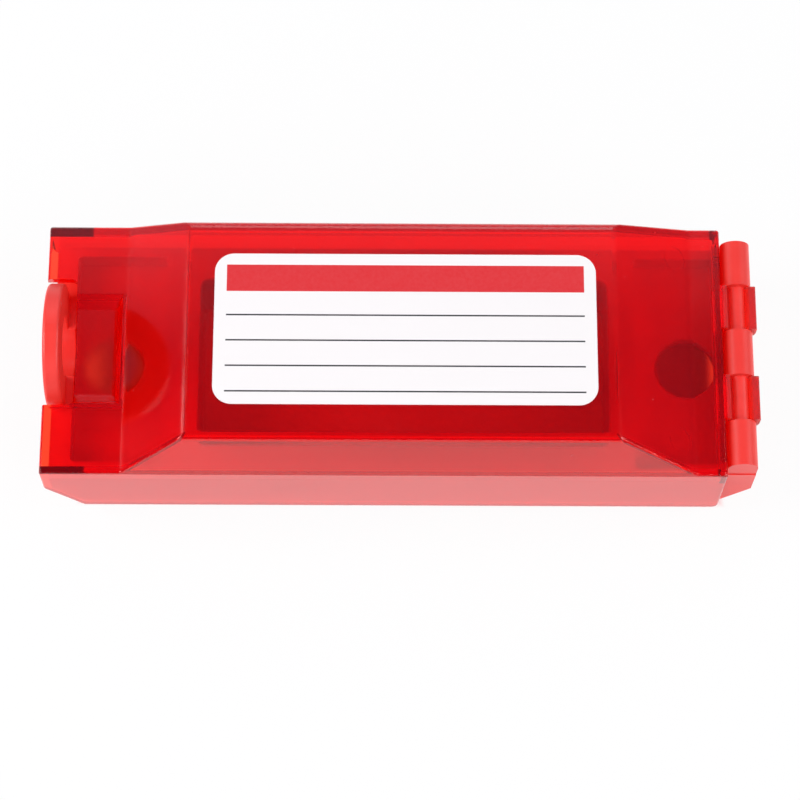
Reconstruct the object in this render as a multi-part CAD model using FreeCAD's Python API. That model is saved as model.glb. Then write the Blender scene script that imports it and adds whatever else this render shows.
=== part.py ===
"""Lockout box for a wall switch: a red frame that stands round the switch and a
clear red lid that snaps onto a hinge rod at one end and is locked at the other
end by a padlock through the hasp, which stands up through a notch in the lid.

All lengths are in millimetres. The origin is on the wall, under the middle of the
box. X runs from the hasp (-X) to the hinge (+X), Y is across the box, and Z
points away from the wall.
"""
import FreeCAD, Part
import math
import os

V = FreeCAD.Vector

# ---- fixing holes, which the length of the frame is built on --------------------------
HOLE_SPACING = 127.0
HOLE_DIAMETER = 14.0
HOLE_MARGIN = 1.8              # from a hole's edge to the end wall of its pocket

# ---- frame that stands on the wall --------------------------------------------------
FRAME_WIDTH = 53.0
RIM_HEIGHT = 18.0
FRAME_WALL = 2.4               # side walls, end walls and the skin under the rim
END_CHAMFER_RUN = 6.6          # slanted underside at both ends
END_CHAMFER_RISE = 8.7
LEFT_LEDGE = 4.6               # from the left pocket to the end face at the hasp
RIGHT_LEDGE = 2.65             # from the right pocket to the end face at the hinge

# ---- opening for the switch ---------------------------------------------------------
OPENING_LENGTH = 91.0
OPENING_WIDTH = 38.2
OPENING_SHIFT = 0.8            # towards the hinge, from the middle between the holes
OPENING_CORNER = 2.0
OPENING_WALL = 2.2

# ---- sunken pockets beside the opening, with a fixing hole in each floor --------------
POCKET_DEPTH = 5.3
POCKET_FLOOR = 2.4
POCKET_CORNER = 1.0
POCKET_WALL = 2.2
LEFT_RIB = 6.7                 # bar between the left pocket and the opening
RIGHT_RIB = 5.3

# ---- hasp ---------------------------------------------------------------------------
HASP_Y = 1.5
HASP_RADIUS = 14.0
HASP_THICKNESS = 3.65
HASP_PROUD = 0.75              # outer face of the hasp over the frame's end face
HASP_RISE = 3.5                # middle of the shackle hole over the rim
HASP_HOLE_RADIUS = 6.6
HASP_EDGE_ROUND = 0.7
HASP_HOLE_ROUND = 0.35

# ---- hinge --------------------------------------------------------------------------
ROD_RADIUS = 1.9
HINGE_RISE = 3.7               # rod's axis over the rim
HINGE_INSET = 0.1              # rod's axis inside the frame's end face
KNUCKLE_RADIUS = 3.25
KNUCKLE_COUNT = 3
EAR_SIDE_INSET = 0.2           # outer faces of the end knuckles behind the frame's sides
ROD_SEAT = 0.03                # radial clearance of the rod in the ears
ROD_RUNNING = 0.06             # radial clearance of the hooks on the rod
ROD_BLIND_WALL = 3.0           # closed end of the bore in the front ear
ROD_END_INSET = 0.5
ROD_END_CHAMFER = 0.4
HOOK_WALL = 2.1
HOOK_SIDE_GAP = 0.25
HOOK_GRIP = 0.2                # how much each side of the throat closes over the rod
HOOK_MOUTH_RADIUS = 2.5        # half the width of the flared mouth
HOOK_LIP_HEIGHT = 2.3          # top of the outer lip over the rod's axis
HOOK_LIP_ROUND = 0.4
HOOK_SWING_GAP = 0.4           # scallop in the frame, round the swinging hooks
LID_HINGE_GAP = 0.4            # between the lid's end wall and the knuckles

# ---- lid ----------------------------------------------------------------------------
LID_OVERHANG = 1.4             # past the frame's end face at the hasp
LID_WALL = 2.0
LID_END_WALL = 1.3
LID_SIDE_GAP = 0.55            # between the lid's skirts and the frame's sides
LID_RIM_GAP = 0.35             # between the lid's end wall and the frame's rim
TONGUE_SIDE_GAP = 0.5          # between the end wall's tongue and the pocket's walls
TONGUE_FLOOR_GAP = 1.5         # between the tongue and the pocket's floor
LID_LOW_RISE = 6.8             # top of the low ends over the frame's rim
LID_RAISE = 12.4               # top of the raised middle over the low ends
SKIRT_BOTTOM = 2.6
SKIRT_CHAMFER_RUN = 8.3
SKIRT_CHAMFER_RISE = 12.1
SKIRT_CORNER = 1.6
LEFT_LOW_LENGTH = 17.7
LEFT_SLOPE_RUN = 14.1
RIGHT_LOW_LENGTH = 6.7
RIGHT_SLOPE_RUN = 17.7
PLATEAU_INSET = 4.1            # of the raised top from each skirt
SLOPE_ROUND = 0.4              # at the foot of each slope
SHOULDER_DROP = 0.6            # top of each skirt under the top of the low ends
SHOULDER_ROUND = 0.5
PLATEAU_ROUND = 2.0            # all round the raised top
EDGE_ROUND = 0.5
LID_CORNER_ROUND = 0.8

# ---- notch for the hasp, and the shallow shackle trough behind it --------------------
NOTCH_SIDE_GAP = 0.8
NOTCH_END_GAP = 2.4
NOTCH_CORNER = 1.2
TROUGH_LENGTH = 10.2
TROUGH_HALF_WIDTH = 12.9
TROUGH_DEPTH = 2.5
TROUGH_SIDE_RUN = 2.9
TROUGH_END_RUN = 1.9

# ---- marks that the mould's ejector pins leave under the lid --------------------------
PIN_MARK_RADIUS = 2.9
PIN_MARK_DEPTH = 0.15
PIN_MARK_SIDE = 7.8            # from the lid's side to the marks near it
LOW_MARK_END = 11.1            # from the lid's hasp end
SLOPE_MARK_UP = 3.1            # from the foot of the slope at the hinge
HIGH_MARK_SIDE = 6.0           # from the side of the raised top

# ---- label ----------------------------------------------------------------------------
LABEL_LENGTH = 82.8
LABEL_WIDTH = 34.8
LABEL_SHIFT = 0.85             # towards the hinge, from the middle of the raised top
LABEL_CORNER = 4.2
LABEL_THICKNESS = 0.15

# ---- places that follow from the sizes above -------------------------------------------
OVERSHOOT = 5.0                # how far a cutting body runs past what it cuts
PICK_MARGIN = 0.5              # slack when an edge is looked for by its place
TOUCH = 0.01                   # slack when an edge must lie on a certain face
SAME_PLACE = 1e-6              # two points this near are one point
HOOK_BORE = ROD_RADIUS + ROD_RUNNING
HOOK_RADIUS = HOOK_BORE + HOOK_WALL
POCKET_REACH = HOLE_SPACING / 2 + HOLE_DIAMETER / 2 + HOLE_MARGIN
LEFT_REACH = POCKET_REACH + LEFT_LEDGE + LID_OVERHANG
RIGHT_REACH = POCKET_REACH + RIGHT_LEDGE - HINGE_INSET + HOOK_RADIUS
HOLES_MIDDLE_X = (LEFT_REACH - RIGHT_REACH) / 2    # so that the whole box is centred
HOLE_PLACES = (HOLES_MIDDLE_X - HOLE_SPACING / 2, HOLES_MIDDLE_X + HOLE_SPACING / 2)

FRAME_HALF_WIDTH = FRAME_WIDTH / 2
FRAME_LEFT = HOLES_MIDDLE_X - POCKET_REACH - LEFT_LEDGE
FRAME_RIGHT = HOLES_MIDDLE_X + POCKET_REACH + RIGHT_LEDGE
OPENING_LEFT = HOLES_MIDDLE_X + OPENING_SHIFT - OPENING_LENGTH / 2
OPENING_RIGHT = OPENING_LEFT + OPENING_LENGTH
OPENING_HALF_WIDTH = OPENING_WIDTH / 2
LEFT_POCKET = (HOLES_MIDDLE_X - POCKET_REACH, OPENING_LEFT - LEFT_RIB)
RIGHT_POCKET = (OPENING_RIGHT + RIGHT_RIB, HOLES_MIDDLE_X + POCKET_REACH)
POCKET_BOTTOM = RIM_HEIGHT - POCKET_DEPTH
POCKET_HALF_WIDTH = FRAME_HALF_WIDTH - POCKET_WALL
HASP_OUTSIDE = FRAME_LEFT - HASP_PROUD
HASP_INSIDE = HASP_OUTSIDE + HASP_THICKNESS
HASP_CENTRE_HEIGHT = RIM_HEIGHT + HASP_RISE

HINGE_X = FRAME_RIGHT - HINGE_INSET
HINGE_HEIGHT = RIM_HEIGHT + HINGE_RISE
HINGE_SEGMENTS = 2 * KNUCKLE_COUNT - 1
HINGE_PITCH = FRAME_WIDTH / HINGE_SEGMENTS
EAR_RIGHT = HINGE_X + KNUCKLE_RADIUS
HOOK_THROAT = HOOK_BORE - HOOK_GRIP

LID_LEFT = FRAME_LEFT - LID_OVERHANG
LID_RIGHT = HINGE_X - KNUCKLE_RADIUS - LID_HINGE_GAP
LID_LOW_HEIGHT = RIM_HEIGHT + LID_LOW_RISE
LID_HIGH_HEIGHT = LID_LOW_HEIGHT + LID_RAISE
SHOULDER_HEIGHT = LID_LOW_HEIGHT - SHOULDER_DROP
SKIRT_INSIDE = FRAME_HALF_WIDTH + LID_SIDE_GAP
LID_HALF_WIDTH = SKIRT_INSIDE + LID_WALL
LEFT_SLOPE_FOOT = LID_LEFT + LEFT_LOW_LENGTH
LEFT_SLOPE_TOP = LEFT_SLOPE_FOOT + LEFT_SLOPE_RUN
RIGHT_SLOPE_FOOT = LID_RIGHT - RIGHT_LOW_LENGTH
RIGHT_SLOPE_TOP = RIGHT_SLOPE_FOOT - RIGHT_SLOPE_RUN
PLATEAU_MIDDLE_X = (LEFT_SLOPE_TOP + RIGHT_SLOPE_TOP) / 2
PLATEAU_HALF_WIDTH = LID_HALF_WIDTH - PLATEAU_INSET
NOTCH_END = HASP_INSIDE + NOTCH_END_GAP
NOTCH_HALF_WIDTH = HASP_RADIUS + NOTCH_SIDE_GAP
TROUGH_END = NOTCH_END + TROUGH_LENGTH


# ---- general shapes ---------------------------------------------------------------------
def block(x0, x1, y0, y1, z0, z1):
    """Box between two corners."""
    return Part.makeBox(x1 - x0, y1 - y0, z1 - z0, V(x0, y0, z0))


def rounded_face(points, radii):
    """Flat face on a closed run of points, each corner rounded by its radius."""
    count = len(points)
    arcs = []
    for i in range(count):
        corner = points[i]
        back = (points[i - 1] - corner).normalize()
        ahead = (points[(i + 1) % count] - corner).normalize()
        if radii[i] <= 0:
            arcs.append((corner, None, corner))
            continue
        half = back.getAngle(ahead) / 2
        reach = radii[i] / math.tan(half)
        middle_way = (back + ahead).normalize()
        middle = corner + middle_way * (radii[i] / math.sin(half) - radii[i])
        arcs.append((corner + back * reach, middle, corner + ahead * reach))
    edges = []
    for i in range(count):
        start, middle, end = arcs[i]
        if middle is not None:
            edges.append(Part.Arc(start, middle, end).toShape())
        following = arcs[(i + 1) % count][0]
        if end.distanceToPoint(following) > SAME_PLACE:
            edges.append(Part.LineSegment(end, following).toShape())
    return Part.Face(Part.Wire(edges))


def prism_along_y(points_xz, radii, y0, y1):
    """Solid with an XZ outline, from y0 to y1."""
    outline = [V(x, y0, z) for x, z in points_xz]
    return rounded_face(outline, radii).extrude(V(0, y1 - y0, 0))


def prism_along_x(points_yz, radii, x0, x1):
    """Solid with a YZ outline, from x0 to x1."""
    outline = [V(x0, y, z) for y, z in points_yz]
    return rounded_face(outline, radii).extrude(V(x1 - x0, 0, 0))


def plate(x0, x1, y0, y1, z0, z1, corner):
    """Flat plate with rounded upright corners."""
    outline = [V(x0, y0, z0), V(x1, y0, z0), V(x1, y1, z0), V(x0, y1, z0)]
    return rounded_face(outline, [corner] * 4).extrude(V(0, 0, z1 - z0))


def rod_along_y(radius, y0, y1, x=HINGE_X, z=HINGE_HEIGHT):
    """Round bar across the box, on the hinge axis unless told otherwise."""
    return Part.makeCylinder(radius, y1 - y0, V(x, y0, z), V(0, 1, 0))


def edges_where(shape, test):
    """Edges whose middle point passes the test."""
    found = []
    for edge in shape.Edges:
        middle = edge.valueAt((edge.FirstParameter + edge.LastParameter) / 2)
        if test(middle):
            found.append(edge)
    return found


def segment_span(index):
    """Y range of one of the equal hinge segments, counted from the front."""
    y0 = -FRAME_HALF_WIDTH + index * HINGE_PITCH
    return y0, y0 + HINGE_PITCH


# ---- frame ------------------------------------------------------------------------------
def frame_body():
    """Outer form of the frame, with both slanted ends, before anything is hollowed."""
    outline = [
        (FRAME_LEFT, RIM_HEIGHT),
        (FRAME_LEFT, END_CHAMFER_RISE),
        (FRAME_LEFT + END_CHAMFER_RUN, 0),
        (EAR_RIGHT - END_CHAMFER_RUN, 0),
        (EAR_RIGHT, END_CHAMFER_RISE),
        (EAR_RIGHT, RIM_HEIGHT),
    ]
    return prism_along_y(outline, [0] * 6, -FRAME_HALF_WIDTH, FRAME_HALF_WIDTH)


def ear(index):
    """Round-topped hinge ear on the frame's end, rising out of the pocket's end wall."""
    y0, y1 = segment_span(index)
    y0 = max(y0, EAR_SIDE_INSET - FRAME_HALF_WIDTH)
    y1 = min(y1, FRAME_HALF_WIDTH - EAR_SIDE_INSET)
    foot_left = HINGE_X - KNUCKLE_RADIUS
    stem = block(foot_left, EAR_RIGHT, y0, y1, POCKET_BOTTOM, HINGE_HEIGHT)
    return stem.fuse(rod_along_y(KNUCKLE_RADIUS, y0, y1))


def hook_slot(index):
    """Room for one hook of the lid: a slot past the frame's end face and a round scallop
    for the hook's swing."""
    y0, y1 = segment_span(index)
    slot = block(FRAME_RIGHT, EAR_RIGHT + OVERSHOOT, y0, y1, -OVERSHOOT, HINGE_HEIGHT)
    swing = math.hypot(HOOK_RADIUS, HOOK_LIP_HEIGHT) + HOOK_SWING_GAP
    return slot.fuse(rod_along_y(swing, y0, y1))


def under_hollow(x0, x1, y0, y1, ceiling):
    """Hollow on the frame's wall side, up to a ceiling."""
    return plate(x0, x1, y0, y1, -OVERSHOOT, ceiling, POCKET_CORNER)


def pocket_cut(x_range):
    """Sunken pocket in the rim and the hollow under its floor."""
    x0, x1 = x_range
    top = plate(x0, x1, -POCKET_HALF_WIDTH, POCKET_HALF_WIDTH,
                POCKET_BOTTOM, RIM_HEIGHT + OVERSHOOT, POCKET_CORNER)
    inset = FRAME_HALF_WIDTH - FRAME_WALL
    hollow = under_hollow(x0, x1, -inset, inset, POCKET_BOTTOM - POCKET_FLOOR)
    return top.fuse(hollow)


def rail_hollow(side):
    """Hollow under the rail between the opening and one side wall."""
    inner = OPENING_HALF_WIDTH + OPENING_WALL
    outer = FRAME_HALF_WIDTH - FRAME_WALL
    y0, y1 = sorted((side * inner, side * outer))
    return block(OPENING_LEFT, OPENING_RIGHT, y0, y1, -OVERSHOOT, RIM_HEIGHT - FRAME_WALL)


def hasp():
    """Round hasp plate that stands on the frame's end, with the shackle hole."""
    disc = Part.makeCylinder(HASP_RADIUS, HASP_THICKNESS,
                             V(HASP_OUTSIDE, HASP_Y, HASP_CENTRE_HEIGHT), V(1, 0, 0))
    disc = disc.makeFillet(HASP_EDGE_ROUND, edges_where(disc, is_on_disc_rim))
    start = V(HASP_OUTSIDE - OVERSHOOT, HASP_Y, HASP_CENTRE_HEIGHT)
    hole = Part.makeCylinder(HASP_HOLE_RADIUS, HASP_THICKNESS + 2 * OVERSHOOT,
                             start, V(1, 0, 0))
    return disc, hole


def is_on_disc_rim(point):
    """True on the two round edges of the hasp disc."""
    flat = math.hypot(point.y - HASP_Y, point.z - HASP_CENTRE_HEIGHT)
    return abs(flat - HASP_RADIUS) < TOUCH and (
        abs(point.x - HASP_OUTSIDE) < TOUCH or abs(point.x - HASP_INSIDE) < TOUCH)


def is_on_hasp_hole(point):
    """True on the two round edges of the shackle hole."""
    flat = math.hypot(point.y - HASP_Y, point.z - HASP_CENTRE_HEIGHT)
    return abs(flat - HASP_HOLE_RADIUS) < TOUCH


def base_frame():
    """Frame moulding: walls, rim, pockets, opening, hasp and hinge ears."""
    solid = frame_body()
    opening = plate(OPENING_LEFT, OPENING_RIGHT, -OPENING_HALF_WIDTH, OPENING_HALF_WIDTH,
                    -OVERSHOOT, RIM_HEIGHT + OVERSHOOT, OPENING_CORNER)
    cuts = [opening, pocket_cut(LEFT_POCKET), pocket_cut(RIGHT_POCKET)]
    cuts += [rail_hollow(-1), rail_hollow(1)]
    for x in HOLE_PLACES:
        cuts.append(Part.makeCylinder(HOLE_DIAMETER / 2, RIM_HEIGHT, V(x, 0, 0)))
    solid = solid.cut(cuts)
    disc, hasp_hole = hasp()
    solid = solid.fuse([disc] + [ear(i) for i in range(0, HINGE_SEGMENTS, 2)])
    bore_front = -FRAME_HALF_WIDTH + ROD_BLIND_WALL
    bore = rod_along_y(ROD_RADIUS + ROD_SEAT, bore_front, FRAME_HALF_WIDTH + OVERSHOOT)
    slots = [hook_slot(i) for i in range(1, HINGE_SEGMENTS, 2)]
    solid = solid.cut([hasp_hole, bore] + slots).removeSplitter()
    return solid.makeFillet(HASP_HOLE_ROUND, edges_where(solid, is_on_hasp_hole))


# ---- hinge rod ------------------------------------------------------------------------------
def hinge_rod():
    """Rod that is pushed in from the back ear and ends blind in the front ear."""
    front = -FRAME_HALF_WIDTH + ROD_BLIND_WALL
    back = FRAME_HALF_WIDTH - ROD_END_INSET
    rod = rod_along_y(ROD_RADIUS, front, back)
    ends = [edge for edge in rod.Edges if edge.Closed]
    return rod.makeChamfer(ROD_END_CHAMFER, ends)


# ---- lid ------------------------------------------------------------------------------------
def shifted_profile(points, distances):
    """Move each side of a closed outline inward by its own distance.

    Side i runs from point i to point i + 1, and the outline turns counter-clockwise.
    """
    count = len(points)
    lines = []
    for i in range(count):
        (ax, az), (bx, bz) = points[i], points[(i + 1) % count]
        length = math.hypot(bx - ax, bz - az)
        nx, nz = -(bz - az) / length, (bx - ax) / length
        offset = distances[i]
        lines.append((nx, nz, nx * ax + nz * az + offset))
    moved = []
    for i in range(count):
        a1, b1, c1 = lines[i - 1]
        a2, b2, c2 = lines[i]
        det = a1 * b2 - a2 * b1
        moved.append(((c1 * b2 - c2 * b1) / det, (a1 * c2 - a2 * c1) / det))
    return moved


def lid_side_outline():
    """Outline of the lid seen from the side, counter-clockwise from the skirt's left foot."""
    return [
        (LID_LEFT + SKIRT_CHAMFER_RUN, SKIRT_BOTTOM),
        (LID_RIGHT, SKIRT_BOTTOM),
        (LID_RIGHT, LID_LOW_HEIGHT),
        (RIGHT_SLOPE_FOOT, LID_LOW_HEIGHT),
        (RIGHT_SLOPE_TOP, LID_HIGH_HEIGHT),
        (LEFT_SLOPE_TOP, LID_HIGH_HEIGHT),
        (LEFT_SLOPE_FOOT, LID_LOW_HEIGHT),
        (LID_LEFT, LID_LOW_HEIGHT),
        (LID_LEFT, SKIRT_BOTTOM + SKIRT_CHAMFER_RISE),
    ]


def lid_end_outline():
    """Outline of the lid seen from its end, counter-clockwise."""
    return [
        (-LID_HALF_WIDTH, SKIRT_BOTTOM),
        (LID_HALF_WIDTH, SKIRT_BOTTOM),
        (LID_HALF_WIDTH, SHOULDER_HEIGHT),
        (PLATEAU_HALF_WIDTH, LID_HIGH_HEIGHT),
        (-PLATEAU_HALF_WIDTH, LID_HIGH_HEIGHT),
        (-LID_HALF_WIDTH, SHOULDER_HEIGHT),
    ]


def lid_outside():
    """Outer form of the lid: low ends, slopes and the raised middle."""
    side_round = [0, SKIRT_CORNER, LID_CORNER_ROUND, SLOPE_ROUND, PLATEAU_ROUND,
                  PLATEAU_ROUND, SLOPE_ROUND, LID_CORNER_ROUND, 0]
    reach = LID_HALF_WIDTH + OVERSHOOT
    side = prism_along_y(lid_side_outline(), side_round, -reach, reach)
    end_round = [0, 0, SHOULDER_ROUND, PLATEAU_ROUND, PLATEAU_ROUND, SHOULDER_ROUND]
    end = prism_along_x(lid_end_outline(), end_round,
                        LID_LEFT - OVERSHOOT, LID_RIGHT + OVERSHOOT)
    return side.common(end)


def lid_inside():
    """Space inside the lid, open below and at the hasp end."""
    past = -2 * OVERSHOOT
    gaps = [past, LID_END_WALL] + [LID_WALL] * 5 + [past, past]
    side_points = shifted_profile(lid_side_outline(), gaps)
    foot = SLOPE_ROUND + LID_WALL
    top = LID_CORNER_ROUND
    side_round = [0, 0, LID_CORNER_ROUND, foot, top, top, foot, 0, 0]
    reach = LID_HALF_WIDTH + OVERSHOOT
    side = prism_along_y(side_points, side_round, -reach, reach)
    end_points = shifted_profile(lid_end_outline(), [past] + [LID_WALL] * 5)
    shoulder = max(0, SHOULDER_ROUND - LID_WALL)
    end_round = [0, 0, shoulder, top, top, shoulder]
    end = prism_along_x(end_points, end_round, LID_LEFT - 3 * OVERSHOOT, LID_RIGHT)
    return side.common(end)


def trough_outline(extra):
    """Trapezoid across the trough, made larger all round by extra (0 for its surface)."""
    slant = math.hypot(TROUGH_SIDE_RUN, TROUGH_DEPTH)
    spread = extra * (slant - TROUGH_SIDE_RUN) / TROUGH_DEPTH
    floor = LID_LOW_HEIGHT - TROUGH_DEPTH - extra
    inner = TROUGH_HALF_WIDTH - TROUGH_SIDE_RUN + spread
    rise = LID_LOW_HEIGHT - floor
    outer = inner + TROUGH_SIDE_RUN * rise / TROUGH_DEPTH
    return [
        (-inner, floor),
        (inner, floor),
        (outer, LID_LOW_HEIGHT),
        (-outer, LID_LOW_HEIGHT),
    ]


def trough_solid(extra, left, right):
    """Body of the trough (extra 0 cuts it, extra of one wall is the skin under it)."""
    body = prism_along_x(trough_outline(extra), [0] * 4, left, right)
    ramp = [
        (left - OVERSHOOT, LID_LOW_HEIGHT - TROUGH_DEPTH - extra - OVERSHOOT),
        (right - TROUGH_END_RUN, LID_LOW_HEIGHT - TROUGH_DEPTH - extra - OVERSHOOT),
        (right - TROUGH_END_RUN, LID_LOW_HEIGHT - TROUGH_DEPTH - extra),
        (right, LID_LOW_HEIGHT),
        (left - OVERSHOOT, LID_LOW_HEIGHT),
    ]
    reach = TROUGH_HALF_WIDTH + OVERSHOOT
    return body.common(prism_along_y(ramp, [0] * 5, -reach, reach))


def end_tongue():
    """Lower part of the lid's end wall, which dips into the pocket beside the hinge."""
    half = POCKET_HALF_WIDTH - TONGUE_SIDE_GAP
    return block(LID_RIGHT - LID_END_WALL, LID_RIGHT, -half, half,
                 POCKET_BOTTOM + TONGUE_FLOOR_GAP, LID_LOW_HEIGHT - LID_WALL)


def hook(index):
    """Snap hook that wraps under the hinge rod, with a flared mouth above it."""
    y0, y1 = segment_span(index)
    y0 += HOOK_SIDE_GAP
    y1 -= HOOK_SIDE_GAP
    arm = block(LID_RIGHT - LID_END_WALL / 2, HINGE_X, y0, y1, HINGE_HEIGHT, LID_LOW_HEIGHT)
    lip = block(HINGE_X, HINGE_X + HOOK_RADIUS, y0, y1,
                HINGE_HEIGHT, HINGE_HEIGHT + HOOK_LIP_HEIGHT)
    lower_half = block(HINGE_X - HOOK_RADIUS, HINGE_X + HOOK_RADIUS, y0, y1,
                       HINGE_HEIGHT - HOOK_RADIUS, HINGE_HEIGHT)
    bowl = rod_along_y(HOOK_RADIUS, y0, y1).common(lower_half)
    body = bowl.fuse([arm, lip]).removeSplitter()
    body = body.makeFillet(HOOK_LIP_ROUND, edges_where(body, is_on_lip_top))
    bore = rod_along_y(HOOK_BORE, y0 - OVERSHOOT, y1 + OVERSHOOT)
    return body.cut([bore, hook_mouth(y0 - OVERSHOOT, y1 + OVERSHOOT)])


def hook_mouth(y0, y1):
    """Space over the rod: a throat narrower than the bore, and a flare above it."""
    throat_rise = math.sqrt(HOOK_BORE ** 2 - HOOK_THROAT ** 2)
    half = [
        (HOOK_THROAT, 0),
        (HOOK_THROAT, throat_rise),
        (HOOK_MOUTH_RADIUS, HOOK_LIP_HEIGHT),
        (HOOK_MOUTH_RADIUS, HOOK_LIP_HEIGHT + OVERSHOOT),
    ]
    outline = half + [(-x, z) for x, z in reversed(half)]
    placed = [(HINGE_X + x, HINGE_HEIGHT + z) for x, z in outline]
    return prism_along_y(placed, [0] * len(placed), y0, y1)


def is_on_lip_top(point):
    """True on the outer upper edge of a hook's lip."""
    return (abs(point.x - HINGE_X - HOOK_RADIUS) < TOUCH
            and abs(point.z - HINGE_HEIGHT - HOOK_LIP_HEIGHT) < TOUCH)


def is_hip(point):
    """True on the lid's upper side edges along the low ends and up the slopes."""
    beside = abs(point.y) > PLATEAU_HALF_WIDTH - PICK_MARGIN
    beyond = (point.x < LEFT_SLOPE_TOP - PICK_MARGIN
              or point.x > RIGHT_SLOPE_TOP + PICK_MARGIN)
    off_ends = LID_LEFT + LID_CORNER_ROUND < point.x < LID_RIGHT - LID_CORNER_ROUND
    return beside and beyond and off_ends and point.z > LID_LOW_HEIGHT - PICK_MARGIN


def pin_mark(x, y, z, lean=0.0):
    """Shallow round mark in an inner face of the lid, which leans towards the hinge."""
    outward = V(math.sin(lean), 0, math.cos(lean))
    middle = V(x, y, z) - outward * LID_WALL
    return Part.makeCylinder(PIN_MARK_RADIUS, PIN_MARK_DEPTH, middle, outward)


def pin_marks():
    """Marks under the low end, the raised top and the slope at the hinge."""
    aside = LID_HALF_WIDTH - PIN_MARK_SIDE
    lean = math.atan2(LID_RAISE, RIGHT_SLOPE_RUN)
    slope_x = RIGHT_SLOPE_FOOT - SLOPE_MARK_UP
    slope_z = LID_LOW_HEIGHT + SLOPE_MARK_UP * math.tan(lean)
    return [
        pin_mark(LID_LEFT + LOW_MARK_END, -aside, LID_LOW_HEIGHT),
        pin_mark(PLATEAU_MIDDLE_X, PLATEAU_HALF_WIDTH - HIGH_MARK_SIDE, LID_HIGH_HEIGHT),
        pin_mark(slope_x, -aside, slope_z, lean),
        pin_mark(slope_x, aside, slope_z, lean),
    ]


def lid():
    """Clear lid with skirts, raised middle, hasp notch, shackle trough and hooks."""
    outside = lid_outside()
    outside = outside.makeFillet(EDGE_ROUND, edges_where(outside, is_hip))
    shell = outside.cut(lid_inside())
    end_foot = block(LID_RIGHT - LID_END_WALL - OVERSHOOT, LID_RIGHT + OVERSHOOT,
                     -SKIRT_INSIDE, SKIRT_INSIDE, -OVERSHOOT, RIM_HEIGHT + LID_RIM_GAP)
    shell = shell.cut(end_foot).fuse(end_tongue())
    skin = trough_solid(LID_WALL, NOTCH_END - OVERSHOOT, TROUGH_END + LID_WALL)
    shell = shell.fuse([skin] + [hook(i) for i in range(1, HINGE_SEGMENTS, 2)])
    trough = trough_solid(0, LID_LEFT - OVERSHOOT, TROUGH_END)
    trough_top = block(LID_LEFT - OVERSHOOT, TROUGH_END, -TROUGH_HALF_WIDTH,
                       TROUGH_HALF_WIDTH, LID_LOW_HEIGHT, LID_LOW_HEIGHT + OVERSHOOT)
    notch = plate(LID_LEFT - OVERSHOOT, NOTCH_END, HASP_Y - NOTCH_HALF_WIDTH,
                  HASP_Y + NOTCH_HALF_WIDTH, LID_LOW_HEIGHT - 2 * OVERSHOOT,
                  LID_LOW_HEIGHT + OVERSHOOT, NOTCH_CORNER)
    shell = shell.cut([trough, trough_top, notch] + pin_marks())
    return shell.removeSplitter()


# ---- label ------------------------------------------------------------------------------------
def label():
    """Stuck-on label on the raised middle of the lid."""
    x0 = PLATEAU_MIDDLE_X + LABEL_SHIFT - LABEL_LENGTH / 2
    return plate(x0, x0 + LABEL_LENGTH, -LABEL_WIDTH / 2, LABEL_WIDTH / 2,
                 LID_HIGH_HEIGHT, LID_HIGH_HEIGHT + LABEL_THICKNESS, LABEL_CORNER)


def main():
    """Write one STEP file for each piece."""
    os.makedirs("parts", exist_ok=True)
    pieces = {
        "base_frame": base_frame(),
        "hinge_rod": hinge_rod(),
        "lid": lid(),
        "label": label(),
    }
    for name, shape in pieces.items():
        box = shape.BoundBox
        print(name, "valid", shape.isValid(), "solids", len(shape.Solids),
              "volume %.1f" % shape.Volume,
              "x %.2f..%.2f y %.2f..%.2f z %.2f..%.2f" % (
                  box.XMin, box.XMax, box.YMin, box.YMax, box.ZMin, box.ZMax))
        shape.exportStep("parts/%s.step" % name)


main()
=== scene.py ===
"""Looks of a lockout box for a wall switch.

An opaque red frame carries a hinge rod and a hasp. A clear red lid swings on the rod,
and a plain write-on label lies on the lid's raised middle. Lengths are in metres, in
the part's own axes: X from the hasp to the hinge, Y across, Z away from the wall.
"""
import logging
import math
from dataclasses import dataclass
from enum import Enum
from typing import Union

import bmesh
import bpy
from mathutils import Matrix, Vector


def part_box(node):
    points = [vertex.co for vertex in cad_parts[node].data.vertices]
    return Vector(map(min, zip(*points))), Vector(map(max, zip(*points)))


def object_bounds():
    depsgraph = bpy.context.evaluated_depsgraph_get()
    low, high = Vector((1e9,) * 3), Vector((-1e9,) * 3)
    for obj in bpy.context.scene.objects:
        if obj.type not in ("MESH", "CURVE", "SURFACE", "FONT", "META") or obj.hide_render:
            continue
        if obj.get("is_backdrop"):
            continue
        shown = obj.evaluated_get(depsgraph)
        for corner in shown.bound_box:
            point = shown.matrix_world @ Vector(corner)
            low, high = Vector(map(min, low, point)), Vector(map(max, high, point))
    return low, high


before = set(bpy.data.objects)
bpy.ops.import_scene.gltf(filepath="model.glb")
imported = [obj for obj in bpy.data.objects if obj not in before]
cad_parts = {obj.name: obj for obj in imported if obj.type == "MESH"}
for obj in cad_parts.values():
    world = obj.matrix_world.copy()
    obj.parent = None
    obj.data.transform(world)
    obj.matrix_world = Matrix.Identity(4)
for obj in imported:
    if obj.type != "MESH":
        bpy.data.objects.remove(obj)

log = logging.getLogger("lockout_box")

Triple = tuple[float, float, float]
Colour = tuple[float, float, float]
Span = tuple[float, float]
Socket = bpy.types.NodeSocket
Feed = Union[float, int, tuple, "Signal", Socket]

MM = 0.001
WHITE = (1.0, 1.0, 1.0)
EVENLY = (1.0, 1.0, 1.0)
PHOTO_PIXELS = 800
SENSOR_WIDTH_MM = 36.0

# A Mix node's colour sockets share their names with its other sockets, so they go by number.
MIX_FACTOR, MIX_FIRST, MIX_SECOND, MIX_RESULT = 0, 6, 7, 2


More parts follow.
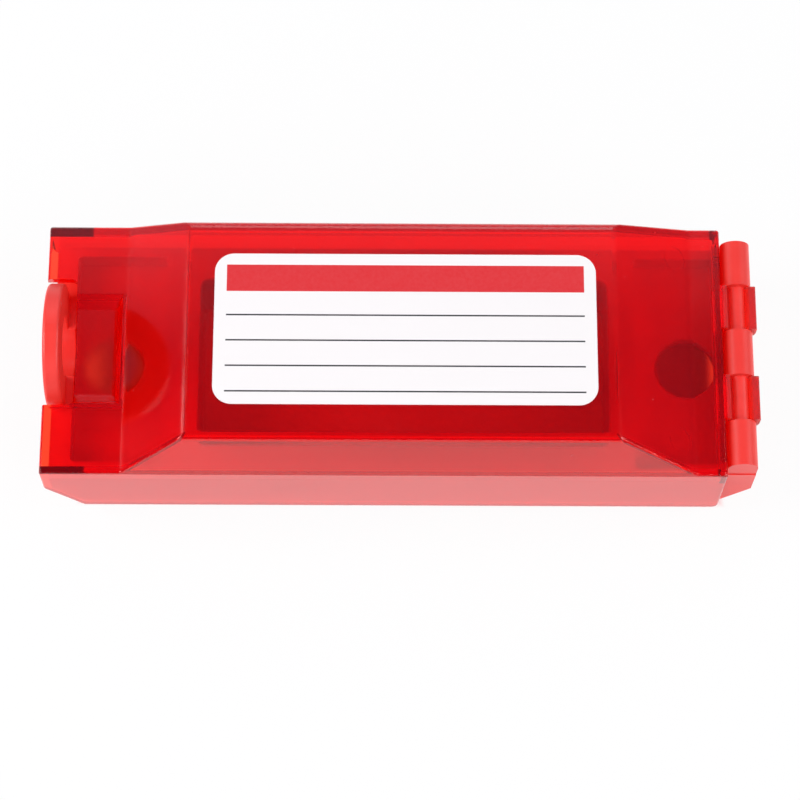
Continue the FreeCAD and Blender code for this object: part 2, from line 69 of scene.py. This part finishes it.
class Ray(Enum):
    """Kinds of ray that a Light Path node tells apart."""

    CAMERA = "Is Camera Ray"
    SHADOW = "Is Shadow Ray"
    GLOSSY = "Is Glossy Ray"
    TRANSMISSION = "Is Transmission Ray"


# ---- node trees -------------------------------------------------------------------------
class Signal:
    """A number carried by a socket; Python arithmetic on it adds Math nodes."""

    def __init__(self, bench: "Bench", socket: Socket) -> None:
        """Keep the socket, and the bench that adds the nodes."""
        self.bench = bench
        self.socket = socket

    def maths(self, operation: str, *feeds: Feed) -> "Signal":
        """Add one Math node.

        Args:
            operation: the node's operation, such as MULTIPLY.
            feeds: what goes into its sockets, in order.

        Returns:
            The node's result.
        """
        node = self.bench.add("ShaderNodeMath", {"operation": operation},
                              dict(enumerate(feeds)))
        return Signal(self.bench, node.outputs["Value"])

    def __add__(self, other: Feed) -> "Signal":
        """Sum."""
        return self.maths("ADD", self, other)

    def __sub__(self, other: Feed) -> "Signal":
        """Difference."""
        return self.maths("SUBTRACT", self, other)

    def __rsub__(self, other: Feed) -> "Signal":
        """Difference from a plain number."""
        return self.maths("SUBTRACT", other, self)

    def __mul__(self, other: Feed) -> "Signal":
        """Product."""
        return self.maths("MULTIPLY", self, other)

    def __abs__(self) -> "Signal":
        """Distance from zero."""
        return self.maths("ABSOLUTE", self)

    __radd__ = __add__
    __rmul__ = __mul__

    def least(self, other: Feed) -> "Signal":
        """Smaller of the two."""
        return self.maths("MINIMUM", self, other)

    def most(self, other: Feed) -> "Signal":
        """Larger of the two."""
        return self.maths("MAXIMUM", self, other)

    def rise(self, low: float, high: float) -> "Signal":
        """Turn from 0 at low to 1 at high, smoothly.

        Args:
            low: value that gives 0.
            high: value that gives 1; it may be the smaller one.

        Returns:
            The smooth step.
        """
        node = self.bench.add("ShaderNodeMapRange", {"interpolation_type": "SMOOTHSTEP"},
                              {"Value": self, "From Min": low, "From Max": high})
        return Signal(self.bench, node.outputs["Result"])


class Bench:
    """Adds nodes to one tree."""

    def __init__(self, tree: bpy.types.NodeTree) -> None:
        """Start from an empty tree."""
        self.tree = tree
        tree.nodes.clear()

    def add(self, kind: str, settings: dict | None = None,
            feeds: dict | None = None) -> bpy.types.Node:
        """Add one node of any type.

        Args:
            kind: the node's type, such as ShaderNodeTexNoise.
            settings: its properties, set before its sockets.
            feeds: socket name or number to a plain value or colour, a signal or a socket.

        Returns:
            The node.
        """
        node = self.tree.nodes.new(kind)
        for name, value in (settings or {}).items():
            setattr(node, name, value)
        for name, feed in (feeds or {}).items():
            socket = node.inputs[name]
            if isinstance(feed, Signal):
                self.tree.links.new(feed.socket, socket)
            elif isinstance(feed, Socket):
                self.tree.links.new(feed, socket)
            elif socket.type == "RGBA":
                socket.default_value = (*feed, 1.0)
            else:
                socket.default_value = feed
        return node

    def place(self) -> Socket:
        """Coordinates in the part's own axes, in metres."""
        return self.add("ShaderNodeTexCoord").outputs["Object"]

    def numbers(self, vector: Socket) -> tuple[Signal, Signal, Signal]:
        """Vector taken apart into its X, Y and Z."""
        node = self.add("ShaderNodeSeparateXYZ", None, {"Vector": vector})
        return tuple(Signal(self, output) for output in node.outputs)

    def along(self) -> tuple[Signal, Signal, Signal]:
        """Coordinates in the part's own axes as three numbers."""
        return self.numbers(self.place())

    def heading(self) -> tuple[Signal, Signal, Signal]:
        """Direction in which a room's background is looked at, as three numbers."""
        return self.numbers(self.add("ShaderNodeTexCoord").outputs["Generated"])

    def noise(self, size: float, detail: float, stretch: Triple = EVENLY) -> Signal:
        """Cloudy pattern from 0 to 1.

        Args:
            size: width of one cloud, in metres.
            detail: number of finer layers.
            stretch: how much finer the pattern is along each axis.

        Returns:
            The pattern.
        """
        scaled = self.add("ShaderNodeVectorMath", {"operation": "MULTIPLY"},
                          {0: self.place(), 1: stretch})
        node = self.add("ShaderNodeTexNoise", None,
                        {"Vector": scaled.outputs["Vector"], "Scale": 1 / size,
                         "Detail": detail})
        return Signal(self, node.outputs[0])

    def blend(self, factor: Feed, first: Feed, second: Feed) -> Socket:
        """Colour between two colours.

        Args:
            factor: 0 for the first colour, 1 for the second.
            first: colour, or a socket that carries one.
            second: colour, or a socket that carries one.

        Returns:
            The mixed colour's socket.
        """
        feeds = {MIX_FACTOR: factor, MIX_FIRST: first, MIX_SECOND: second}
        return self.add("ShaderNodeMix", {"data_type": "RGBA"}, feeds).outputs[MIX_RESULT]

    def either(self, factor: Signal, first: Socket, second: Socket) -> Socket:
        """Shader between two shaders, the first at 0 and the second at 1."""
        feeds = dict(enumerate((factor, first, second)))
        return self.add("ShaderNodeMixShader", None, feeds).outputs["Shader"]

    def principled(self, **feeds: Feed) -> Socket:
        """Surface shader; a socket's name is written with _ for each space."""
        named = {name.replace("_", " "): feed for name, feed in feeds.items()}
        return self.add("ShaderNodeBsdfPrincipled", None, named).outputs["BSDF"]

    def bump(self, height: Signal, depth: float) -> Socket:
        """Normal of a surface that rises by depth where height is 1."""
        feeds = {"Height": height, "Distance": depth, "Strength": 1.0}
        return self.add("ShaderNodeBump", None, feeds).outputs["Normal"]

    def on_ray(self, kind: Ray) -> Signal:
        """1 on one kind of ray, 0 on the others."""
        return Signal(self, self.add("ShaderNodeLightPath").outputs[kind.value])

    def in_sight(self, *kinds: Ray) -> Signal:
        """Tell rays that the picture shows from rays that only carry light.

        Args:
            kinds: the kinds of ray that count.

        Returns:
            1 on such a ray, as long as no matt surface has turned it, and 0 on the others.
        """
        turned = Signal(self, self.add("ShaderNodeLightPath").outputs["Diffuse Depth"])
        hits = sum(self.on_ray(kind) for kind in kinds)
        return hits.least(1.0) * (1 - turned.least(1.0))

    def finish(self, kind: str, **feeds: Feed) -> None:
        """Add the tree's output node, which takes its feeds by name."""
        self.add(kind, None, feeds)


def new_material(name: str) -> tuple[bpy.types.Material, Bench]:
    """Make an empty node material.

    Args:
        name: the material's name.

    Returns:
        The material, and the bench that fills it.
    """
    material = bpy.data.materials.new(name)
    material.use_nodes = True
    return material, Bench(material.node_tree)


# ---- patterns ---------------------------------------------------------------------------
@dataclass(frozen=True)
class Clouds:
    """Cloudy pattern, 0 at one level of its noise and 1 at another."""

    size: float
    detail: float
    levels: Span
    stretch: Triple = EVENLY

    def mask(self, bench: Bench) -> Signal:
        """1 inside the clouds and 0 between them."""
        return bench.noise(self.size, self.detail, self.stretch).rise(*self.levels)


@dataclass(frozen=True)
class Flecks:
    """Scattered round dots, of which only a share is there."""

    spacing: float
    radius: float
    share: float
    core: float = 0.5
    share_step: float = 0.02

    def mask(self, bench: Bench) -> Signal:
        """Tell dots from the surface between them.

        Args:
            bench: adds the nodes.

        Returns:
            1 in the core of a dot that is there, and 0 from its radius on.
        """
        cells = bench.add("ShaderNodeTexVoronoi", None,
                          {"Vector": bench.place(), "Scale": 1 / self.spacing})
        edge = self.radius / self.spacing
        near = Signal(bench, cells.outputs["Distance"]).rise(edge, self.core * edge)
        lot, _, _ = bench.numbers(cells.outputs["Color"])
        return near * lot.rise(self.share, self.share - self.share_step)


@dataclass(frozen=True)
class Patch:
    """Box-shaped part of a surface, with soft sides."""

    low: Triple
    high: Triple
    soft: float

    def mask(self, bench: Bench) -> Signal:
        """Tell the box from what lies round it.

        Args:
            bench: adds the nodes.

        Returns:
            1 inside the box and 0 outside.
        """
        inside = 1
        for place, low, high in zip(bench.along(), self.low, self.high):
            over = place.rise(low - self.soft, low + self.soft)
            under = place.rise(high + self.soft, high - self.soft)
            inside = inside * over * under
        return inside


def cover(bench: Bench, patches: tuple[Patch, ...]) -> Signal:
    """1 inside any of some patches that lie apart, and 0 outside."""
    return sum(patch.mask(bench) for patch in patches)


# ---- finishes ---------------------------------------------------------------------------
@dataclass(frozen=True)
class MouldedPlastic:
    """Opaque satin plastic: flowed pigment, fine grain and a handled sheen."""

    name: str
    colour: Colour
    deep_colour: Colour
    flow: Clouds
    roughness: float
    handled: Clouds = Clouds(size=0.020, detail=2.0, levels=(0.45, 0.75))
    handled_sheen: float = 0.08
    grain_size: float = 0.00035
    grain_depth: float = 0.000004
    grain_dulling: float = 0.06
    refraction: float = 1.5

    def material(self) -> bpy.types.Material:
        """Build the material.

        Returns:
            The material.
        """
        material, bench = new_material(self.name)
        colour = bench.blend(self.flow.mask(bench), self.colour, self.deep_colour)
        grain = bench.noise(self.grain_size, detail=1.0)
        sheen = self.handled_sheen * self.handled.mask(bench)
        surface = bench.principled(
            Base_Color=colour,
            Roughness=self.roughness + self.grain_dulling * grain - sheen,
            IOR=self.refraction,
            Normal=bench.bump(grain, self.grain_depth),
        )
        bench.finish("ShaderNodeOutputMaterial", Surface=surface)
        return material


@dataclass(frozen=True)
class ClearPlastic:
    """Polished see-through plastic, coloured by how far the light goes through it."""

    name: str
    absorbed_per_mm: Colour
    frosted: tuple[Patch, ...]
    worn: tuple[Patch, ...]
    frosting: float = 0.40
    wear: float = 0.15
    wear_clouds: Clouds = Clouds(size=0.006, detail=2.0, levels=(0.1, 0.8))
    roughness: float = 0.10
    rubbed: Clouds = Clouds(size=0.018, detail=4.0, levels=(0.5, 0.8))
    rubbed_dulling: float = 0.04
    specks: Flecks = Flecks(spacing=0.006, radius=0.00022, share=0.35)
    speck_dulling: float = 0.3
    speck_height: float = 0.25
    scratches: Clouds = Clouds(0.0009, 2.0, (0.66, 0.72), stretch=(0.05, 1.0, 1.0))
    scratch_height: float = 0.02
    wave_size: float = 0.030
    wave_depth: float = 0.00005
    refraction: float = 1.56
    lamp_share: Colour = (0.67, 0.40, 0.36)

    def material(self) -> bpy.types.Material:
        """Build the material.

        Returns:
            The material, whose shadow rays let the lamps' light through.
        """
        material, bench = new_material(self.name)
        specks = self.specks.mask(bench)
        surface = bench.principled(
            Base_Color=WHITE,
            Roughness=self.dulling(bench, specks),
            IOR=self.refraction,
            Transmission_Weight=1.0,
            Normal=bench.bump(self.relief(bench, specks), self.wave_depth),
        )
        passing = bench.add("ShaderNodeBsdfTransparent", None, {"Color": self.lamp_share})
        mixed = bench.either(bench.on_ray(Ray.SHADOW), surface, passing.outputs["BSDF"])
        strongest = max(self.absorbed_per_mm)
        kept = tuple(1 - share / strongest for share in self.absorbed_per_mm)
        body = bench.add("ShaderNodeVolumeAbsorption", None,
                         {"Color": kept, "Density": strongest / MM})
        bench.finish("ShaderNodeOutputMaterial", Surface=mixed,
                     Volume=body.outputs["Volume"])
        return material

    def dulling(self, bench: Bench, specks: Signal) -> Signal:
        """Roughness: polish, dulled where it is rubbed, dusty, frosted or worn.

        Args:
            bench: adds the nodes.
            specks: mask of the dust.

        Returns:
            The roughness.
        """
        polish = self.roughness + self.rubbed_dulling * self.rubbed.mask(bench)
        matt = self.frosting * cover(bench, self.frosted)
        scuffs = self.wear * self.wear_clouds.mask(bench) * cover(bench, self.worn)
        return polish + self.speck_dulling * specks + matt + scuffs

    def relief(self, bench: Bench, specks: Signal) -> Signal:
        """Height of moulding waves, fine scratches and dust.

        Args:
            bench: adds the nodes.
            specks: mask of the dust.

        Returns:
            The height, as a share of the waves' depth.
        """
        waves = bench.noise(self.wave_size, detail=1.0)
        scratches = self.scratch_height * self.scratches.mask(bench)
        return waves + scratches + self.speck_height * specks


@dataclass(frozen=True)
class PrintedFilm:
    """White satin film with a plain ruled write-on form printed on it."""

    name: str
    middle: Span
    half: Span
    paper: Colour = (0.93, 0.90, 0.875)
    paper_clouds: float = 0.015
    clouded: float = 0.985
    ink: Colour = (0.012, 0.011, 0.012)
    bar: Colour = (0.72, 0.02, 0.025)
    ink_cover: float = 0.96
    margin: float = 0.0026
    rule_width: float = 0.00035
    rule_count: int = 4
    bar_height: float = 0.0062
    print_softness: float = 0.00006
    fibre_size: float = 0.0007
    fibre_depth: float = 0.000002
    fibre_dulling: float = 0.05
    roughness: float = 0.36
    ink_sheen: float = 0.08
    refraction: float = 1.46

    def material(self) -> bpy.types.Material:
        """Build the material.

        Returns:
            The material.
        """
        material, bench = new_material(self.name)
        x, y, _ = bench.along()
        across = x - self.middle[0]
        up = y - self.middle[1]
        fibre = bench.noise(self.fibre_size, detail=2.0)
        bar = self.bar_mask(across, up)
        rules = self.rule_mask(across, up)
        covered = (self.ink_cover + (1 - self.ink_cover) * fibre).least(1.0)
        paper = bench.blend(bench.noise(self.paper_clouds, detail=2.0), self.paper,
                            tuple(self.clouded * share for share in self.paper))
        barred = bench.blend(bar * covered, paper, self.bar)
        sheen = self.ink_sheen * bar.most(rules)
        surface = bench.principled(
            Base_Color=bench.blend(rules * covered, barred, self.ink),
            Roughness=self.roughness + self.fibre_dulling * fibre - sheen,
            IOR=self.refraction,
            Normal=bench.bump(fibre, self.fibre_depth),
        )
        bench.finish("ShaderNodeOutputMaterial", Surface=surface)
        return material

    def box_mask(self, across: Signal, up: Signal, middle: Span, half: Span) -> Signal:
        """Filled rectangle, 1 inside and 0 outside.

        Args:
            across: coordinate along the label from its middle.
            up: coordinate over the label from its middle.
            middle: middle of the rectangle.
            half: half of its length and height.

        Returns:
            The mask, with an edge as soft as printing.
        """
        soft = self.print_softness
        in_x = abs(across - middle[0]).rise(half[0] + soft, half[0] - soft)
        in_y = abs(up - middle[1]).rise(half[1] + soft, half[1] - soft)
        return in_x * in_y

    def bar_mask(self, across: Signal, up: Signal) -> Signal:
        """Colour bar along the label's far edge.

        Args:
            across: coordinate along the label from its middle.
            up: coordinate over the label from its middle.

        Returns:
            1 on the bar and 0 beside it.
        """
        top = self.half[1] - self.margin
        middle = (0.0, top - self.bar_height / 2)
        half = (self.half[0] - self.margin, self.bar_height / 2)
        return self.box_mask(across, up, middle, half)

    def rule_mask(self, across: Signal, up: Signal) -> Signal:
        """Evenly spaced lines under the bar.

        Args:
            across: coordinate along the label from its middle.
            up: coordinate over the label from its middle.

        Returns:
            1 on a line and 0 between the lines.
        """
        top = self.half[1] - self.margin - self.bar_height
        pitch = (top + self.half[1] - self.margin) / self.rule_count
        half = (self.half[0] - self.margin, self.rule_width / 2)
        heights = [top - (i + 1) * pitch + self.rule_width for i in range(self.rule_count)]
        return sum(self.box_mask(across, up, (0.0, height), half) for height in heights)


@dataclass(frozen=True)
class TableTop:
    """White table that reads as the picture's background and keeps the part's shadow."""

    name: str
    reach: Span
    colour: Colour = (0.90, 0.90, 0.90)
    shine: float = 0.93
    over_white: float = 0.2
    # Painted red light: under the frame's foot the table glows faintly in this red, in place
    # of the red light that comes through the lid.
    painted_glow_share_under_foot: float = 0.12
    painted_red_glow_under_frame: Colour = (1.0, 0.05, 0.05)
    fade: float = 0.004

    def material(self) -> bpy.types.Material:
        """Build the material.

        Returns:
            The material, which glows white in sight, and under the frame's foot only faintly,
            with painted red light.
        """
        material, bench = new_material(self.name)
        x, y, _ = bench.along()
        past_foot = (abs(x) - self.reach[0]).most(abs(y) - self.reach[1])
        beyond = past_foot.rise(-self.fade / 2, self.fade / 2)
        seen = bench.in_sight(Ray.CAMERA, Ray.GLOSSY, Ray.TRANSMISSION)
        paper = bench.add("ShaderNodeBsdfDiffuse", None, {"Color": self.colour})
        # The glow is painted red light under the frame's foot and the white backdrop beyond
        # it.
        glow = bench.add("ShaderNodeEmission", None, {
            "Color": bench.blend(beyond, self.painted_red_glow_under_frame, WHITE),
            "Strength": 1.0 + self.over_white * (1 - bench.on_ray(Ray.CAMERA)),
        })
        share = self.painted_glow_share_under_foot + (self.shine - self.painted_glow_share_under_foot) * beyond
        mixed = bench.either(seen * share, paper.outputs["BSDF"], glow.outputs["Emission"])
        bench.finish("ShaderNodeOutputMaterial", Surface=mixed)
        return material


# ---- the part's own pieces --------------------------------------------------------------
def dress(node: str, material: bpy.types.Material) -> bpy.types.Object:
    """Give one of the part's solids its finish.

    Args:
        node: the solid's name.
        material: the finish.

    Returns:
        The solid's object.
    """
    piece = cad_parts[node]
    piece.data.materials.clear()
    piece.data.materials.append(material)
    return piece


@dataclass(frozen=True)
class FrameMoulding:
    """Opaque red frame with the pockets, the hasp and the hinge ears."""

    node: str = "base_frame"
    slot: str = "frame_plastic"
    colour: Colour = (0.90, 0.043, 0.032)
    deep_colour: Colour = (0.86, 0.037, 0.027)
    flow: Clouds = Clouds(0.012, 3.0, (0.35, 0.75), stretch=(1.0, 2.2, 1.6))
    roughness: float = 0.38

    def build(self) -> list[bpy.types.Object]:
        """Dress the moulding."""
        finish = MouldedPlastic("frame_red_plastic", self.colour, self.deep_colour,
                                self.flow, self.roughness)
        return [dress(self.node, finish.material())]


@dataclass(frozen=True)
class HingeRod:
    """Opaque red rod between the hinge ears."""

    node: str = "hinge_rod"
    slot: str = "rod_plastic"
    colour: Colour = (0.92, 0.050, 0.040)
    deep_colour: Colour = (0.87, 0.042, 0.034)
    flow: Clouds = Clouds(0.006, 3.0, (0.35, 0.75), stretch=(1.0, 2.2, 1.6))
    roughness: float = 0.36

    def build(self) -> list[bpy.types.Object]:
        """Dress the rod."""
        finish = MouldedPlastic("rod_red_plastic", self.colour, self.deep_colour,
                                self.flow, self.roughness)
        return [dress(self.node, finish.material())]


@dataclass(frozen=True)
class LidZone:
    """Zone across the lid, along from its hasp end and up from its foot."""

    along: Span
    half_width: float
    up: Span
    soft: float

    def patch(self, corner: Vector) -> Patch:
        """Place the zone on the lid.

        Args:
            corner: the lid's lowest corner, at its hasp end.

        Returns:
            The patch of surface that lies in the zone.
        """
        left, right = (corner.x + distance for distance in self.along)
        bottom, top = (corner.z + height for height in self.up)
        return Patch((left, -self.half_width, bottom), (right, self.half_width, top),
                     self.soft)


@dataclass(frozen=True)
class ClearLid:
    """Clear red lid with its skirts, raised middle, notch, trough and hooks.

    It is frosted under the trough and on the hooks, and worn along the left edge of the
    raised middle and the foot of the slope that leads up to it.
    """

    node: str = "lid"
    slot: str = "clear_plastic"
    absorbed_per_mm: Colour = (0.01, 1.38, 1.9)
    under_trough: LidZone = LidZone((0.0067, 0.0200), 0.0142, (0.0172, 0.01945), 0.0001)
    hooks: LidZone = LidZone((0.1498, 0.1576), 0.0300, (0.0124, 0.0234), 0.0001)
    left_edge: LidZone = LidZone((0.0311, 0.0326), 0.0240, (0.0334, 0.0354), 0.0004)
    slope_foot: LidZone = LidZone((0.0173, 0.0183), 0.0280, (0.0214, 0.0228), 0.0004)

    def build(self) -> list[bpy.types.Object]:
        """Dress the lid.

        Returns:
            The lid, in a list.
        """
        corner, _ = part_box(self.node)
        frosted = (self.under_trough.patch(corner), self.hooks.patch(corner))
        worn = (self.left_edge.patch(corner), self.slope_foot.patch(corner))
        finish = ClearPlastic("lid_clear_red", self.absorbed_per_mm, frosted, worn)
        return [dress(self.node, finish.material())]


@dataclass(frozen=True)
class WriteOnLabel:
    """White film on the lid's raised middle."""

    node: str = "label"
    slot: str = "label_film"

    def build(self) -> list[bpy.types.Object]:
        """Dress the label.

        Returns:
            The label, in a list.
        """
        low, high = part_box(self.node)
        middle = ((low.x + high.x) / 2, (low.y + high.y) / 2)
        half = ((high.x - low.x) / 2, (high.y - low.y) / 2)
        finish = PrintedFilm("label_ruled_film", middle, half)
        return [dress(self.node, finish.material())]


# ---- studio -----------------------------------------------------------------------------
@dataclass(frozen=True)
class Softbox:
    """Square studio lamp that faces the part; azimuth 0 is in front and 90 to the right."""

    name: str
    azimuth: float
    elevation: float
    watts: float
    distance: float = 0.95
    side: float = 0.50

    def hang(self, target: Vector) -> None:
        """Put the lamp up.

        Args:
            target: the place that it faces.
        """
        lamp = bpy.data.lights.new(self.name, "AREA")
        lamp.shape = "SQUARE"
        lamp.size = self.side
        lamp.energy = self.watts
        box = bpy.data.objects.new(self.name, lamp)
        bpy.context.scene.collection.objects.link(box)
        turn = math.radians(self.azimuth)
        lift = math.radians(self.elevation)
        way = Vector((math.cos(lift) * math.sin(turn), -math.cos(lift) * math.cos(turn),
                      math.sin(lift)))
        box.location = target + self.distance * way
        box.rotation_euler = (-way).to_track_quat("-Z", "Y").to_euler()
        box.visible_camera = False
        box.visible_transmission = False


@dataclass(frozen=True)
class Viewpoint:
    """The photograph's camera, fitted to the part's outline; angles are in degrees."""

    place: Vector = Vector((-0.004015, -0.22147, 0.60378))
    azimuth: float = 1.001
    elevation: float = 70.093
    roll: float = 1.199
    focal_pixels: float = 2816.7

    def set_up(self) -> None:
        """Make the camera the scene's camera."""
        lens = bpy.data.cameras.new("camera")
        lens.sensor_width = SENSOR_WIDTH_MM
        lens.lens = self.focal_pixels / PHOTO_PIXELS * SENSOR_WIDTH_MM
        camera = bpy.data.objects.new("camera", lens)
        bpy.context.scene.collection.objects.link(camera)
        turn, dip, roll = (math.radians(a) for a in (self.azimuth, self.elevation, self.roll))
        ahead = Vector((math.cos(dip) * math.sin(turn), math.cos(dip) * math.cos(turn),
                        -math.sin(dip)))
        right = Vector((math.cos(turn), -math.sin(turn), 0.0))
        up = right.cross(ahead)
        rolled_right = math.cos(roll) * right + math.sin(roll) * up
        rolled_up = rolled_right.cross(ahead)
        axes = Matrix((rolled_right, rolled_up, -ahead)).transposed()
        camera.matrix_world = Matrix.Translation(self.place) @ axes.to_4x4()
        bpy.context.scene.camera = camera


@dataclass(frozen=True)
class Room:
    """Dim studio room, white where it is seen; in gloss the back is pale, the front dark.

    The pale back fades towards the right.
    """

    fill: Colour = (0.12, 0.12, 0.17)
    dark: Colour = (0.05, 0.05, 0.11)
    pale: Colour = (0.55, 0.55, 0.70)
    back_edge: Span = (0.36, 0.41)
    right_edge: Span = (1.3, 0.3)

    def build(self) -> None:
        """Make the room the scene's world."""
        world = bpy.data.worlds.new("room")
        world.use_nodes = True
        bpy.context.scene.world = world
        bench = Bench(world.node_tree)
        right, back, _ = bench.heading()
        lit = back.rise(*self.back_edge) * right.rise(*self.right_edge)
        mirrored = bench.blend(lit, self.dark, self.pale)
        shade = bench.blend(bench.in_sight(Ray.GLOSSY), self.fill, mirrored)
        seen = bench.in_sight(Ray.CAMERA, Ray.TRANSMISSION)
        colour = bench.blend(seen, shade, WHITE)
        sky = bench.add("ShaderNodeBackground", None, {"Color": colour, "Strength": 1.0})
        bench.finish("ShaderNodeOutputWorld", Surface=sky.outputs["Background"])


@dataclass(frozen=True)
class Bounces:
    """How often light may turn, enough for the long ways inside clear walls."""

    all_kinds: int = 96
    glossy: int = 64
    through: int = 48

    def set_up(self) -> None:
        """Hand the numbers to the scene."""
        cycles = bpy.context.scene.cycles
        cycles.max_bounces = self.all_kinds
        cycles.glossy_bounces = self.glossy
        cycles.transmission_bounces = self.through


@dataclass(frozen=True)
class Studio:
    """White table, dim room, five soft lamps and the camera."""

    table_side: float = 8.0
    table_height: float = -0.0001
    foot_inset: float = 0.0066
    lamps: tuple[Softbox, ...] = (
        Softbox("left_lamp", azimuth=-90, elevation=35, watts=6.6),
        Softbox("right_lamp", azimuth=90, elevation=35, watts=3.5),
        Softbox("front_right_lamp", azimuth=40, elevation=42, watts=3.2),
        Softbox("front_left_lamp", azimuth=-36, elevation=22, watts=1.9),
        Softbox("back_lamp", azimuth=180, elevation=40, watts=1.25),
    )

    def build(self, low: Vector, high: Vector) -> None:
        """Set up everything that isn't the part.

        Args:
            low: the part's lowest corner.
            high: the part's highest corner.
        """
        self.lay_table()
        Room().build()
        Bounces().set_up()
        for lamp in self.lamps:
            lamp.hang((low + high) / 2)
        Viewpoint().set_up()
        bpy.context.scene.view_settings.view_transform = "Standard"

    def lay_table(self) -> None:
        """Make the table, which glows brightly up to the frame's foot."""
        _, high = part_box("base_frame")
        mesh = bpy.data.meshes.new("table")
        shape = bmesh.new()
        bmesh.ops.create_grid(shape, x_segments=1, y_segments=1, size=self.table_side / 2)
        shape.to_mesh(mesh)
        shape.free()
        table = bpy.data.objects.new("table", mesh)
        bpy.context.scene.collection.objects.link(table)
        table.location.z = self.table_height
        reach = (high.x - self.foot_inset, high.y)
        mesh.materials.append(TableTop("table_white", reach).material())
        table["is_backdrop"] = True


def main() -> None:
    """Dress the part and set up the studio."""
    logging.basicConfig(level=logging.INFO, format="%(name)s: %(message)s")
    low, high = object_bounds()
    for assembly in (FrameMoulding(), HingeRod(), ClearLid(), WriteOnLabel()):
        for piece in assembly.build():
            log.info("%s: %s, %d faces", type(assembly).__name__, piece.name,
                     len(piece.data.polygons))
    Studio().build(low, high)


if __name__ == "__main__":
    main()
